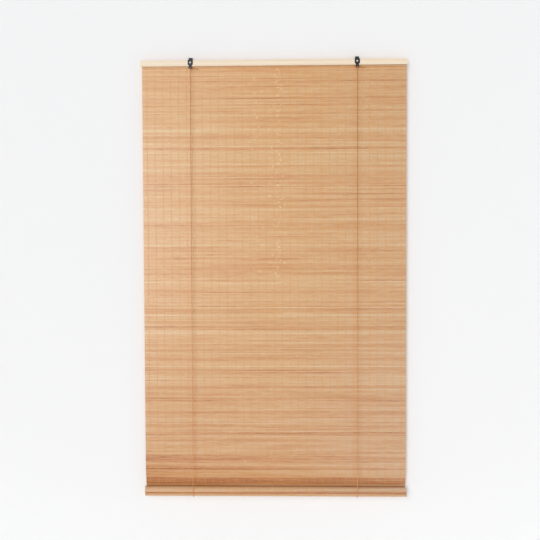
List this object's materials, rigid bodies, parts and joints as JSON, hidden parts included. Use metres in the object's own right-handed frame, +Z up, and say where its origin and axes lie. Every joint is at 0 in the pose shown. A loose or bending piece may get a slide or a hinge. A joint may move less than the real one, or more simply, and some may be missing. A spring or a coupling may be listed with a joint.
{
  "type": "bamboo roll-up blind",
  "caption": "Hanging mat of bamboo splints on a wooden headrail with steel hooks; its lower end winds up into a roll carried in cord slings.",
  "frame": {"origin": "midway between the two hooks, on the line through both hook bends", "axes": "+X to the right along the headrail, -Y towards the room, +Z up"},
  "size_m": [0.902, 0.0409, 1.5066],
  "materials": {
    "headrail_wood": "planed, unvarnished pale wood",
    "bamboo": "split bamboo, satin",
    "cord": "twisted cord",
    "black_steel": "black lacquer, semi-gloss",
    "bright_steel": "bright zinc"
  },
  "bodies": {
    "headrail": {"headrail": "headrail_wood", "mat_panel": "bamboo", "mat_staples": "bright_steel", "cord_staples": "bright_steel", "hook_screws": "bright_steel", "hook_left": "black_steel", "hook_right": "black_steel", "cord_front_left": "cord", "cord_front_right": "cord", "cord_back_left": "cord", "cord_back_right": "cord", "cord_end_left": "cord", "cord_end_right": "cord"},
    "cord_slings": {"cord_sling_left": "cord", "cord_sling_right": "cord"},
    "bottom_roll": {"mat_roll": "bamboo", "core_rod": "headrail_wood", "core_tacks": "bright_steel"}
  },
  "joints": [
    {"name": "roll_lift", "type": "slide", "parent": "headrail", "child": "cord_slings", "axis": [0, 0, 1], "range_m": [0, 1.3], "deforming": ["mat_panel", "cord_front_left", "cord_front_right", "cord_back_left", "cord_back_right"]},
    {"name": "roll_turn", "type": "hinge", "parent": "cord_slings", "child": "bottom_roll", "pos_m": [0, -0.00295, -1.48038], "axis": [1, 0, 0], "range_deg": [-4350, 0]}
  ],
  "couplings": [
    {"joint": "roll_turn", "follows": "roll_lift", "rad_per_m": -58.394}
  ]
}
